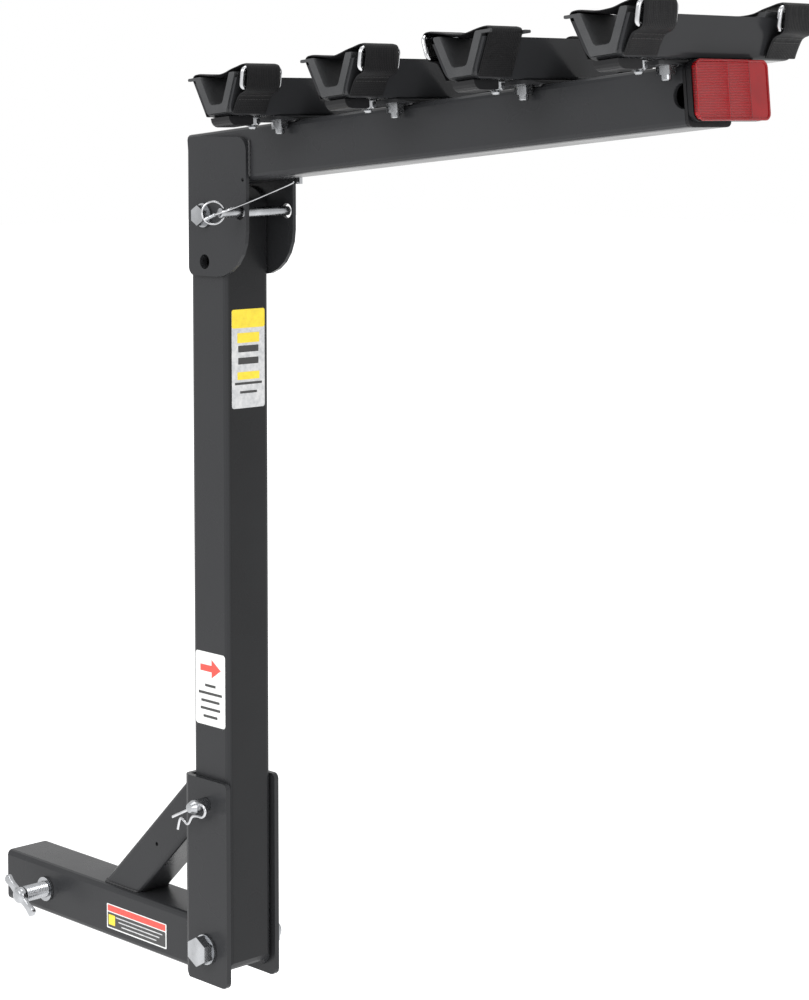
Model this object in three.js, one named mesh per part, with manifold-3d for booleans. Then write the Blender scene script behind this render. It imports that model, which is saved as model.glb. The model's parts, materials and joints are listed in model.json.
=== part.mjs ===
// Hitch mounted bike rack: receiver shank, tilting post and a folding arm with four cradles.
// Units are millimetres. +X points away from the vehicle, +Z up, and the origin is the centre of the
// hitch bolt hole in the shank. The -Y side is the side that carries the wing bolt and the lock pin ring.

import * as THREE from 'three';
import { mergeVertices } from 'three/addons/utils/BufferGeometryUtils.js';
import Module from 'manifold-3d';

const wasm = await Module();
wasm.setup();

// ---------------------------------------------------------------- driving dimensions

const GAP = 0.3; // air between neighbouring pieces
const TUBE = 50.8; // outer width of the shank, post and beam tubes
const HALF = TUBE / 2;
const TUBE_WALL = 4;
const TUBE_RADIUS = 5;

const POST_X = 258; // centre of the post, behind the hitch bolt
const SHANK_FRONT = -66;

const YOKE_WEB = 5; // plate thickness of the yoke
const YOKE_INSIDE = 26.6; // half distance between the flanges
const YOKE_FRONT = POST_X - 33;
const YOKE_REAR = POST_X + 28.9;
const YOKE_BOTTOM = -30;
const YOKE_TOP = 161;

const BRACE = 38.1;
const BRACE_ANGLE = 44; // degrees above the shank
const BRACE_FOOT_X = POST_X - 145;

const PIVOT_Z = 2; // lower bolt, on which the post tilts
const PIVOT_ROD = 8;
const TILT_PIN_Z = 138;
const TILT_PIN_R = 6.35;
const TILT_PIN_TIP = -52;
const CLIP_Y = -44.5;
const CLIP_WIRE = 1.4;
const CLIP_ANGLE = 26; // degrees between the clip's straight leg and the ground

const HITCH_ROD = 7.94;
const HITCH_ROD_END = -54;

const ARM_Z = 679; // arm bolt, on which the arm folds
const ARM_SLOPE = 5.5; // degrees the beam rises to the rear
const ARM_ROD = 5;
const LOCK_DROP = 42; // travel lock hole below the arm bolt
const LOCK_HOLE = 6.75;
const PARK_X = POST_X + 49.5; // rear hole in the ears, where the lock pin stands
const PARK_Z = 683;

const EAR_IN = 25.8;
const EAR_T = 3.8;
const EAR_FRONT = POST_X - 22.5;
const EAR_REAR = POST_X + 58;
const EAR_BOTTOM = 624;
const EAR_TOP = 750;

const BEAM_BOTTOM = 27.2; // above the arm bolt, square to the beam
const BEAM_HEIGHT = 47.6;
const BEAM_TOP = BEAM_BOTTOM + BEAM_HEIGHT;
const BEAM_FRONT = -22;
const BEAM_END = 563;
const BRACKET_T = 3;
const BRACKET_HALF_W = 50;

const CRADLES = [115, 261, 407.5, 554]; // stations of the crossbars along the beam
const CRADLE_BASE = BEAM_TOP + BRACKET_T + GAP;
const BAR_HALF = 102; // half length of a crossbar
const BAR_FLOOR = 14.25; // half width of the floor
const BAR_MOUTH = 28.5; // half width of the open top
const BAR_HEIGHT = 31;
const BAR_SHEET = 3;
const LEAN = (BAR_MOUTH - BAR_FLOOR) / BAR_HEIGHT;
const BOLT_Y = 33;

const PAD_IN = 58;
const PAD_OUT = 103;
const PAD_T = 7;
const PAD_TOP = 36;
const STRAP_MID = 82;
const STRAP_W = 36.5;
const STRAP_T = 2;
const RING_WIRE = 1.8;

// ---------------------------------------------------------------- materials

const finish = (color, roughness, metalness) =>
  new THREE.MeshStandardMaterial({ color, roughness, metalness });

const BLACK_PAINT = [0x17181a, 0.32, 0.1];
const ZINC = [0xc9ccd0, 0.28, 0.95];
const STEEL_WIRE = [0xd6d8da, 0.2, 1];
const GREY_RUBBER = [0x55585b, 0.8, 0];
const BLACK_WEBBING = [0x1d1e20, 0.85, 0];
const BLACK_PLASTIC = [0x202123, 0.5, 0];
const RED_PLASTIC = [0xb3121a, 0.18, 0];

// ---------------------------------------------------------------- outlines

const rad = THREE.MathUtils.degToRad;
const point = (x, y) => new THREE.Vector2(x, y);

function arc(cx, cy, r, from, to, steps) {
  const out = [];
  for (let i = 0; i <= steps; i += 1) {
    const a = rad(from + ((to - from) * i) / steps);
    out.push(point(cx + r * Math.cos(a), cy + r * Math.sin(a)));
  }
  return out;
}

const circle = (cx, cy, r, steps = 24) => arc(cx, cy, r, 0, 360, steps).slice(0, -1);

// Closed polygon from corners given as [x, y, fillet radius].
function rounded(corners, steps = 3) {
  const out = [];
  corners.forEach(([x, y, r = 0], i) => {
    const here = point(x, y);
    if (r === 0) {
      out.push(here);
      return;
    }
    const [bx, by] = corners[(i + corners.length - 1) % corners.length];
    const [fx, fy] = corners[(i + 1) % corners.length];
    const back = point(bx - x, by - y).normalize();
    const fore = point(fx - x, fy - y).normalize();
    const half = Math.acos(THREE.MathUtils.clamp(back.dot(fore), -1, 1)) / 2;
    const centre = back.clone().add(fore).normalize().multiplyScalar(r / Math.sin(half)).add(here);
    const reach = r / Math.tan(half);
    const start = here.clone().addScaledVector(back, reach).sub(centre).angle();
    const end = here.clone().addScaledVector(fore, reach).sub(centre).angle();
    const sweep = Math.atan2(Math.sin(end - start), Math.cos(end - start));
    for (let k = 0; k <= steps; k += 1) {
      const a = start + (sweep * k) / steps;
      out.push(point(centre.x + r * Math.cos(a), centre.y + r * Math.sin(a)));
    }
  });
  return out;
}

const rectangle = (x0, y0, x1, y1, r = 0, steps = 3) =>
  rounded([[x0, y0, r], [x1, y0, r], [x1, y1, r], [x0, y1, r]], steps);

function shapeOf(outline, holes = []) {
  const shape = new THREE.Shape(outline);
  shape.holes = holes.map((hole) => new THREE.Path(hole));
  return shape;
}

// ---------------------------------------------------------------- solids

const extrude = (outline, depth, holes, bevel = {}) =>
  new THREE.ExtrudeGeometry(shapeOf(outline, holes), { depth, bevelEnabled: false, ...bevel });

// An (x, z) outline given thickness between y0 and y1.
const plateY = (outline, y0, y1, holes) =>
  extrude(outline, y1 - y0, holes).rotateX(Math.PI / 2).translate(0, y1, 0);

// A (y, z) outline running from x0 to x1.
function barX(outline, x0, x1, holes) {
  const turn = new THREE.Matrix4().makeBasis(
    new THREE.Vector3(0, 1, 0),
    new THREE.Vector3(0, 0, 1),
    new THREE.Vector3(1, 0, 0),
  );
  return extrude(outline, x1 - x0, holes).applyMatrix4(turn).translate(x0, 0, 0);
}

const barZ = (outline, z0, z1, holes) => extrude(outline, z1 - z0, holes).translate(0, 0, z0);
const block = (x0, x1, y0, y1, z0, z1) =>
  new THREE.BoxGeometry(x1 - x0, y1 - y0, z1 - z0).translate((x0 + x1) / 2, (y0 + y1) / 2, (z0 + z1) / 2);
const rodY = (x, z, r, y0, y1, steps = 24) =>
  new THREE.CylinderGeometry(r, r, y1 - y0, steps).translate(x, (y0 + y1) / 2, z);
const rodZ = (x, y, r, z0, z1, steps = 16) =>
  new THREE.CylinderGeometry(r, r, z1 - z0, steps).rotateX(Math.PI / 2).translate(x, y, (z0 + z1) / 2);

// A profile of [radius, height] turned about +Z.
function turned(profile, steps = 24) {
  const points = profile.map(([r, z]) => point(r, z));
  return new THREE.LatheGeometry(points, steps).rotateX(Math.PI / 2);
}

function hexagon(acrossFlats, z0, z1) {
  const r = acrossFlats / Math.sqrt(3);
  return new THREE.CylinderGeometry(r, r, z1 - z0, 6).rotateX(Math.PI / 2).translate(0, 0, (z0 + z1) / 2);
}

const faceNear = (geometry, x, y, z) => geometry.rotateX(Math.PI / 2).translate(x, y, z);
const faceFar = (geometry, x, y, z) => geometry.rotateX(-Math.PI / 2).translate(x, y, z);

// Round wire along a smooth curve.
function wire(points, radius, steps, sides = 8, tension = 0.5) {
  const path = new THREE.CatmullRomCurve3(points, false, 'catmullrom', tension);
  return new THREE.ExtrudeGeometry(shapeOf(circle(0, 0, radius, sides)), {
    steps,
    extrudePath: path,
    bevelEnabled: false,
  });
}

// ---------------------------------------------------------------- cutting and joining

function toSolid(geometry) {
  const bare = geometry.clone();
  bare.deleteAttribute('normal');
  bare.deleteAttribute('uv');
  const merged = mergeVertices(bare, 1e-4);
  const index = merged.index.array;
  const triangles = [];
  for (let i = 0; i < index.length; i += 3) {
    const [a, b, c] = [index[i], index[i + 1], index[i + 2]];
    if (a !== b && b !== c && c !== a) {
      triangles.push(a, b, c);
    }
  }
  const mesh = new wasm.Mesh({
    numProp: 3,
    vertProperties: new Float32Array(merged.attributes.position.array),
    triVerts: new Uint32Array(triangles),
  });
  const solid = new wasm.Manifold(mesh);
  if (solid.volume() >= 0) {
    return solid;
  }
  const flipped = [];
  for (let i = 0; i < triangles.length; i += 3) {
    flipped.push(triangles[i], triangles[i + 2], triangles[i + 1]);
  }
  mesh.triVerts = new Uint32Array(flipped);
  return new wasm.Manifold(mesh);
}

function toGeometry(solid) {
  const mesh = solid.getMesh();
  const geometry = new THREE.BufferGeometry();
  geometry.setAttribute('position', new THREE.BufferAttribute(new Float32Array(mesh.vertProperties), 3));
  geometry.setIndex(new THREE.BufferAttribute(new Uint32Array(mesh.triVerts), 1));
  geometry.computeVertexNormals();
  return geometry;
}

const joined = (first, ...rest) =>
  toGeometry(rest.reduce((solid, other) => solid.add(toSolid(other)), toSolid(first)));
const cut = (first, ...rest) =>
  toGeometry(rest.reduce((solid, other) => solid.subtract(toSolid(other)), toSolid(first)));
const common = (first, second) => toGeometry(toSolid(first).intersect(toSolid(second)));
const clean = (geometry) => toGeometry(toSolid(geometry));

// ---------------------------------------------------------------- scene graph

const rack = new THREE.Group();
const arm = new THREE.Group();
arm.position.set(POST_X, 0, ARM_Z);
arm.rotation.y = -rad(ARM_SLOPE);
rack.add(arm);

function add(parent, name, geometry, look) {
  const mesh = new THREE.Mesh(geometry, finish(...look));
  mesh.name = name;
  parent.add(mesh);
  return mesh;
}

const squareTube = (half = HALF, wall = TUBE_WALL, r = TUBE_RADIUS) => [
  rectangle(-half, -half, half, half, r),
  [rectangle(-half + wall, -half + wall, half - wall, half - wall, Math.max(r - wall, 1), 1)],
];

// ---------------------------------------------------------------- base: shank, brace and yoke

function shankTube() {
  const [outer, inner] = squareTube();
  return cut(barX(outer, SHANK_FRONT, YOKE_FRONT - GAP, inner), rodY(0, 0, HITCH_ROD + GAP, -30, 30));
}

function braceTube() {
  const [outer, inner] = squareTube(BRACE / 2, 3, 4);
  const bar = barX(outer, -60, 200, inner).rotateY(-rad(BRACE_ANGLE)).translate(BRACE_FOOT_X, 0, HALF);
  const middleX = (BRACE_FOOT_X + YOKE_FRONT) / 2;
  const middleZ = HALF + (middleX - BRACE_FOOT_X) * Math.tan(rad(BRACE_ANGLE));
  return cut(
    bar,
    block(-200, 400, -60, 60, -200, HALF + GAP),
    block(YOKE_FRONT - GAP, 500, -60, 60, -100, 400),
    rodY(middleX, middleZ, 2, -30, -10, 12),
  );
}

function yokeChannel() {
  const out = YOKE_INSIDE + YOKE_WEB;
  const section = rounded([
    [YOKE_REAR, -out],
    [YOKE_REAR, -YOKE_INSIDE],
    [YOKE_FRONT + YOKE_WEB, -YOKE_INSIDE, 1],
    [YOKE_FRONT + YOKE_WEB, YOKE_INSIDE, 1],
    [YOKE_REAR, YOKE_INSIDE],
    [YOKE_REAR, out],
    [YOKE_FRONT, out, 7],
    [YOKE_FRONT, -out, 7],
  ]);
  const side = rounded([
    [YOKE_FRONT - 1, YOKE_BOTTOM + 9],
    [YOKE_FRONT + 8, YOKE_BOTTOM],
    [YOKE_REAR, YOKE_BOTTOM, 6],
    [YOKE_REAR, YOKE_TOP, 5],
    [YOKE_FRONT - 1, YOKE_TOP],
  ]);
  const blank = common(barZ(section, YOKE_BOTTOM - 5, YOKE_TOP + 5), plateY(side, -50, 50));
  return cut(
    blank,
    rodY(POST_X, PIVOT_Z, PIVOT_ROD + GAP, -40, 40),
    rodY(POST_X, TILT_PIN_Z, TILT_PIN_R + GAP, -40, 40),
  );
}

// Hexagon head, washer face and plain rod, made along +Z with the head above z = 0.
function hexBolt(flats, headHeight, washerR, washerT, rodR, length) {
  return joined(
    turned([[0, -length], [rodR - 1, -length], [rodR, 1 - length], [rodR, 0], [washerR, 0],
      [washerR, washerT], [0, washerT]]),
    hexagon(flats, washerT - 0.2, washerT + headHeight),
  );
}

function hexNut(flats, height, washerR, washerT, bore) {
  return cut(
    joined(
      turned([[0, 0], [washerR, 0], [washerR, washerT], [0, washerT]]),
      hexagon(flats, washerT - 0.2, washerT + height),
    ),
    rodZ(0, 0, bore, -5, 40, 20),
  );
}

const yokeOut = YOKE_INSIDE + YOKE_WEB + GAP;

add(rack, 'shank_tube', shankTube(), BLACK_PAINT);
add(rack, 'brace_tube', braceTube(), BLACK_PAINT);
add(rack, 'yoke_channel', yokeChannel(), BLACK_PAINT);
add(rack, 'pivot_bolt',
  faceNear(hexBolt(24, 10, 14, 2.5, PIVOT_ROD, 2 * yokeOut + 22), POST_X, -yokeOut, PIVOT_Z), ZINC);
add(rack, 'pivot_nut', faceFar(hexNut(24, 13, 14, 2.5, PIVOT_ROD + GAP), POST_X, yokeOut, PIVOT_Z), ZINC);

// ---------------------------------------------------------------- hitch bolt with its wings

function wingNut() {
  const wing = rounded([[4, -4.2], [15, -3.2], [26.5, -5.5, 3.5], [26.5, 5.5, 3.5], [15, 3.2], [4, 4.2]]);
  const wings = [0, 180].map((turn) =>
    plateY(wing, -2.3, 2.3).translate(0, -3, 0).rotateY(rad(33 + turn)));
  const hub = faceNear(turned([[0, 0], [7.6, 0], [8.2, 0.8], [8.2, 4.6],
    [6.6, 7.2], [3.6, 8.1], [0, 8.3]]), 0, 0, 0);
  return joined(hub, ...wings).translate(0, HITCH_ROD_END - GAP, 0);
}

const rodBack = -4;
add(rack, 'hitch_bolt', clean(faceNear(
  turned([[0, 0], [HITCH_ROD - 1.5, 0], [HITCH_ROD, 1.5],
    [HITCH_ROD, rodBack - HITCH_ROD_END - 0.5], [0, rodBack - HITCH_ROD_END - 0.5]]),
  0, rodBack, 0,
)), ZINC);
add(rack, 'hitch_washer', clean(faceNear(
  turned([[HITCH_ROD + GAP, 0], [12, 0], [12, 2.6], [HITCH_ROD + GAP, 2.6], [HITCH_ROD + GAP, 0]]),
  0, -HALF - GAP, 0,
)), ZINC);
add(rack, 'hitch_nut', faceNear(
  cut(hexagon(24, 0, 13), rodZ(0, 0, HITCH_ROD + GAP, -5, 40, 20)),
  0, -HALF + TUBE_WALL + GAP + 13, 0,
), ZINC);
add(rack, 'wing_nut', wingNut(), ZINC);

// ---------------------------------------------------------------- tilt pin and its spring clip

function tiltPin() {
  const tip = TILT_PIN_TIP;
  const body = faceFar(
    turned([[0, tip], [TILT_PIN_R - 1.8, tip], [TILT_PIN_R, tip + 1.8], [TILT_PIN_R, yokeOut],
      [11, yokeOut], [11, yokeOut + 4], [9, yokeOut + 6], [0, yokeOut + 6]]),
    0, 0, 0,
  );
  const slot = block(-20, 20, tip - 5, CLIP_Y + CLIP_WIRE + GAP, -CLIP_WIRE - GAP, CLIP_WIRE + GAP);
  slot.rotateY(-rad(CLIP_ANGLE));
  return cut(body, slot).translate(POST_X, 0, TILT_PIN_Z);
}

// Straight leg through the pin, a round loop behind it and the waved leg underneath.
function springClip() {
  const path = [
    [-36, 0], [-24, 0], [-12, 0], [0, 0], [7, 0.2], [11.6, 2.2], [13, 5.8], [11, 9.6], [6, 11.8],
    [0, 11.6], [-6, 9.2], [-12, 11], [-17.5, 12], [-24, 9.2], [-29, 10.4], [-34, 13],
  ];
  const points = path.map(([along, drop]) => new THREE.Vector3(along, 0, -drop));
  return wire(points, CLIP_WIRE, 52, 8).rotateY(-rad(CLIP_ANGLE)).translate(POST_X, CLIP_Y, TILT_PIN_Z);
}

add(rack, 'tilt_pin', tiltPin(), ZINC);
add(rack, 'r_clip', clean(springClip()), STEEL_WIRE);

// ---------------------------------------------------------------- post

function postTube() {
  const foot = 27.4;
  const low = Math.asin(HALF / foot);
  const outline = [
    ...arc(POST_X, ARM_Z, HALF, 0, 180, 20),
    ...arc(POST_X, PIVOT_Z, foot, 270 - THREE.MathUtils.radToDeg(low), 270 + THREE.MathUtils.radToDeg(low), 14),
  ];
  const [outer, inner] = squareTube();
  const tube = barZ(outer, -40, 720, inner).translate(POST_X, 0, 0);
  // The tilt pin leaves the tube through a curved slot that stays behind the yoke plates.
  const reach = TILT_PIN_Z - PIVOT_Z;
  const half = TILT_PIN_R + 0.5;
  const slot = [
    ...arc(POST_X, PIVOT_Z, reach + half, 90, 105, 6),
    ...arc(POST_X, PIVOT_Z, reach - half, 105, 90, 6),
  ];
  return cut(
    common(tube, plateY(outline, -30, 30)),
    rodY(POST_X, PIVOT_Z, PIVOT_ROD + GAP, -30, 30),
    rodY(POST_X, TILT_PIN_Z, half, -30, 30),
    plateY(slot, -30, 30),
    rodY(POST_X, ARM_Z - LOCK_DROP, LOCK_HOLE, -30, 30),
    rodY(POST_X, ARM_Z, ARM_ROD + GAP, -30, 30, 16),
  );
}

add(rack, 'post_tube', postTube(), BLACK_PAINT);

// ---------------------------------------------------------------- ears, arm bolt and lock pin

function ear(inner, outer) {
  const outline = rounded([
    [EAR_FRONT, EAR_BOTTOM, 8],
    [EAR_REAR, EAR_BOTTOM, 42],
    [EAR_REAR, EAR_TOP, 12],
    [EAR_FRONT, EAR_TOP, 8],
  ], 6);
  return plateY(outline, inner, outer, [
    circle(POST_X, ARM_Z, ARM_ROD + GAP, 16),
    circle(POST_X, ARM_Z - LOCK_DROP, LOCK_HOLE),
    circle(PARK_X, PARK_Z, LOCK_HOLE),
    circle(EAR_REAR - 4.5, 712, 1.8, 10),
  ]);
}

const earOut = EAR_IN + EAR_T + GAP;

add(rack, 'ear_near', clean(ear(-EAR_IN - EAR_T, -EAR_IN)), BLACK_PAINT);
add(rack, 'ear_far', clean(ear(EAR_IN, EAR_IN + EAR_T)), BLACK_PAINT);
add(rack, 'arm_bolt', faceNear(hexBolt(16, 6.5, 11, 2, ARM_ROD, 2 * earOut + 14), POST_X, -earOut, ARM_Z), ZINC);
add(rack, 'arm_nut', faceFar(hexNut(16, 8, 11, 2, ARM_ROD + GAP), POST_X, earOut, ARM_Z), ZINC);

const PIN_R = 4.25;
const PIN_NEAR = -53;
const RING_Y = -47; // where the ring passes through the pin
const RING_R = 10;
const RING_TURN = 46; // degrees between the ring's plane and the beam

function lockPin() {
  const body = faceFar(
    turned([[0, PIN_NEAR], [PIN_R - 0.8, PIN_NEAR], [PIN_R, PIN_NEAR + 0.8],
      [PIN_R, 27], [1.6, 30.5], [0, 30.5]]),
    0, 0, 0,
  );
  const eye = rodZ(-0.3, RING_Y - 0.3, 2.4, -10, 10, 12);
  return cut(body, eye).translate(PARK_X, 0, PARK_Z);
}

add(rack, 'lock_pin', lockPin(), ZINC);
add(rack, 'pin_ring', clean(new THREE.TorusGeometry(RING_R, 1.2, 8, 28).rotateX(Math.PI / 2)
  .translate(-RING_R, 0, 0).rotateZ(rad(RING_TURN)).translate(PARK_X, RING_Y, PARK_Z)), STEEL_WIRE);

// ---------------------------------------------------------------- beam, end cap and reflector

function armBeam() {
  const wall = TUBE_WALL;
  const tube = barX(rectangle(-HALF, BEAM_BOTTOM, HALF, BEAM_TOP, TUBE_RADIUS), BEAM_FRONT, BEAM_END, [
    rectangle(-HALF + wall, BEAM_BOTTOM + wall, HALF - wall, BEAM_TOP - wall, 1, 1),
  ]);
  const notch = rodY(BEAM_END, BEAM_BOTTOM + BEAM_HEIGHT / 2, 10, -30, -15, 20);
  const brackets = CRADLES.map((u) => {
    const rear = Math.min(u + 15, BEAM_END - 1);
    const outline = rectangle(u - 15, -BRACKET_HALF_W, rear, BRACKET_HALF_W, 6, 2);
    return barZ(outline, BEAM_TOP - 0.3, BEAM_TOP + BRACKET_T);
  });
  const holes = CRADLES.map((u) => rodZ(u, -BOLT_Y, 4 + GAP, BEAM_TOP - 5, BEAM_TOP + 10));
  return cut(joined(cut(tube, notch), ...brackets), ...holes);
}

const REFLECTOR_NEAR = -25;
const REFLECTOR_FAR = 61;
const REFLECTOR_TOP = BEAM_TOP + 2.5;
const REFLECTOR_BOTTOM = REFLECTOR_TOP - 46;

function reflector(u0, u1, inset, r) {
  const outline = rectangle(
    REFLECTOR_NEAR + inset, REFLECTOR_BOTTOM + inset, REFLECTOR_FAR - inset, REFLECTOR_TOP - inset, r, 4);
  return barX(outline, u0, u1);
}

add(arm, 'arm_beam', armBeam(), BLACK_PAINT);
add(arm, 'end_cap', clean(barX(
  rectangle(-HALF, BEAM_BOTTOM, HALF, BEAM_TOP, TUBE_RADIUS), BEAM_END + GAP, BEAM_END + 3)), BLACK_PLASTIC);
add(arm, 'reflector_base', clean(reflector(BEAM_END + 3.3, BEAM_END + 8, 0, 7)), BLACK_PLASTIC);
add(arm, 'reflector_lens', clean(reflector(BEAM_END + 8.3, BEAM_END + 12.5, 1, 6)), RED_PLASTIC);

// ---------------------------------------------------------------- lanyard of the lock pin

const LANYARD = [
  [PARK_X - 10, -61.5, 677.2], [PARK_X - 1.5, -57, 681.5], [PARK_X + 10.5, -51.7, 686],
  [PARK_X + 10.8, -25, 693.5], [PARK_X + 10.8, 0, 701], [PARK_X + 10.8, 19.6, 707],
  [PARK_X + 10.8, 25.4, 709.4],
];

add(rack, 'lanyard_wire', clean(wire(
  LANYARD.map(([x, y, z]) => new THREE.Vector3(x, y, z)), 1, 30, 8)), STEEL_WIRE);
add(rack, 'lanyard_clip', clean(block(PARK_X + 9.5, PARK_X + 16.5, 27, 30.5, 707.5, 715.5)), ZINC);

// ---------------------------------------------------------------- cradles

// Bent-sheet trough, open upwards, lying across the beam.
function crossbar() {
  const wallIn = BAR_SHEET * Math.hypot(1, LEAN);
  const inside = (w) => BAR_FLOOR + LEAN * w - wallIn;
  const section = rounded([
    [-BAR_FLOOR, 0, 4], [BAR_FLOOR, 0, 4], [BAR_MOUTH, BAR_HEIGHT], [inside(BAR_HEIGHT), BAR_HEIGHT],
    [inside(BAR_SHEET), BAR_SHEET, 2], [-inside(BAR_SHEET), BAR_SHEET, 2],
    [-inside(BAR_HEIGHT), BAR_HEIGHT], [-BAR_MOUTH, BAR_HEIGHT],
  ]);
  const ends = rounded([
    [-BAR_HALF, 0, 9], [BAR_HALF, 0, 9], [BAR_HALF, BAR_HEIGHT + 1], [-BAR_HALF, BAR_HEIGHT + 1],
  ], 4);
  const trough = common(plateY(section, -BAR_HALF - 5, BAR_HALF + 5), barX(ends, -50, 50));
  return cut(trough, rodZ(0, -BOLT_Y, 4 + GAP, -5, 10));
}

// Rubber liner of one end of a trough. Its lip stands out past one wall on both sides of the strap.
function pad(lipSide, y0, y1) {
  const wallIn = (BAR_SHEET + GAP) * Math.hypot(1, LEAN);
  const outer = (w) => BAR_FLOOR + LEAN * w - wallIn;
  const inner = (w) => outer(w) - PAD_T * Math.hypot(1, LEAN);
  const base = BAR_SHEET + GAP;
  const lip = PAD_TOP - 2.5;
  const section = rounded([
    [-outer(base), base, 1.4], [outer(base), base, 1.4], [outer(PAD_TOP), PAD_TOP, 1.5],
    [inner(PAD_TOP), PAD_TOP, 2], [inner(base + PAD_T), base + PAD_T, 5],
    [-inner(base + PAD_T), base + PAD_T, 5], [-inner(PAD_TOP), PAD_TOP, 2], [-outer(PAD_TOP), PAD_TOP, 1.5],
  ]);
  const tab = rounded([
    [lipSide * (BAR_MOUTH + 7), lip, 1], [lipSide * (BAR_MOUTH + 7), PAD_TOP, 1],
    [lipSide * (inner(PAD_TOP) + 2.5), PAD_TOP], [lipSide * (inner(PAD_TOP) + 2.5), lip],
  ]);
  const yMid = Math.sign(y0 + y1) * STRAP_MID;
  const ends = [[y0, yMid - STRAP_W / 2 - 0.4], [yMid + STRAP_W / 2 + 0.4, y1]];
  return joined(plateY(section, y0, y1), ...ends.map(([from, to]) => plateY(tab, from, to)));
}

// Webbing strap up one wall's outside, over the mouth, through the ring and down the other wall.
function strap(ringSide, yMid) {
  const line = new THREE.CatmullRomCurve3([
    [-17.2, 3], [-20.6, 10], [-25.2, 20], [-29.8, 30], [-31.3, 34], [-30.3, 37], [-26.5, 38], [-20, 37.5],
    [-9, 35.4], [0, 34.9], [10, 35.6], [17, 36.8], [22, 37.7], [27, 37.8], [31.5, 35.6], [35.4, 31],
    [38.6, 25], [38.2, 20.5], [35, 17.6], [30, 16], [25, 13], [21, 8.5], [18, 2.6],
  ].map(([u, w]) => new THREE.Vector3(u, w, 0)), false, 'catmullrom', 0.5);
  const spine = line.getSpacedPoints(44);
  const side = (sign) => spine.map((p, i) => {
    const a = spine[Math.max(i - 1, 0)];
    const b = spine[Math.min(i + 1, spine.length - 1)];
    const along = point(b.x - a.x, b.y - a.y).normalize();
    return point(p.x - (sign * along.y * STRAP_T) / 2, p.y + (sign * along.x * STRAP_T) / 2);
  });
  const band = plateY([...side(-1), ...side(1).reverse()], -STRAP_W / 2, STRAP_W / 2);
  if (ringSide < 0) {
    band.rotateZ(Math.PI);
  }
  return clean(band.translate(0, yMid, 0));
}

// Rectangular wire ring in the (Y, rising) plane.
function strapRing(ringSide, yMid) {
  const halfY = 22.5;
  const halfW = 10.6;
  const bar = 2 * RING_WIRE;
  const c = RING_WIRE * 0.6;
  const frame = extrude(
    rectangle(-halfW, -halfY, halfW, halfY, 5, 3), bar - 2 * c,
    [rectangle(-halfW + bar, -halfY + bar, halfW - bar, halfY - bar, 2, 2)],
    { bevelEnabled: true, bevelThickness: c, bevelSize: c, bevelOffset: -c, bevelSegments: 1 },
  );
  frame.translate(0, 0, c - RING_WIRE).rotateY(-rad(76.8)).translate(36, 0, 29.5);
  if (ringSide < 0) {
    frame.rotateZ(Math.PI);
  }
  return clean(frame.translate(0, yMid, 0));
}

function footBlock() {
  const outline = rounded([[-100, -8, 7], [-73, -8, 2], [-73, -GAP], [-100, -GAP]], 4);
  return clean(barX(outline, -12, 12));
}

// Bolt through the trough floor and the bracket, with its nut under the bracket.
function cradleBolt() {
  const under = -BRACKET_T - 2 * GAP;
  const top = BAR_SHEET + GAP;
  return joined(
    turned([[0, -15], [3.2, -15], [4, -14.2], [4, top], [8, top], [7, top + 3.3], [0, top + 4.1]], 16),
    hexagon(13, under - 7, under - 0.1),
  );
}

CRADLES.forEach((u, i) => {
  const cradle = new THREE.Group();
  cradle.position.set(u, 0, CRADLE_BASE);
  arm.add(cradle);
  const n = i + 1;
  const ringSide = n === 3 ? -1 : 1;
  add(cradle, `crossbar_${n}`, crossbar(), BLACK_PAINT);
  add(cradle, `foot_block_${n}`, footBlock(), BLACK_PLASTIC);
  add(cradle, `crossbar_bolt_${n}`, cradleBolt().translate(0, -BOLT_Y, 0), ZINC);
  [['near', -1], ['far', 1]].forEach(([label, side]) => {
    const y0 = Math.min(side * PAD_IN, side * PAD_OUT);
    const y1 = Math.max(side * PAD_IN, side * PAD_OUT);
    add(cradle, `pad_${n}_${label}`, pad(-ringSide, y0, y1), GREY_RUBBER);
    add(cradle, `strap_${n}_${label}`, strap(ringSide, side * STRAP_MID), BLACK_WEBBING);
    add(cradle, `strap_ring_${n}_${label}`, strapRing(ringSide, side * STRAP_MID), STEEL_WIRE);
  });
});

export default rack;
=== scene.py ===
import json
import math

import bmesh
import bpy
from mathutils import Matrix, Vector


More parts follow.
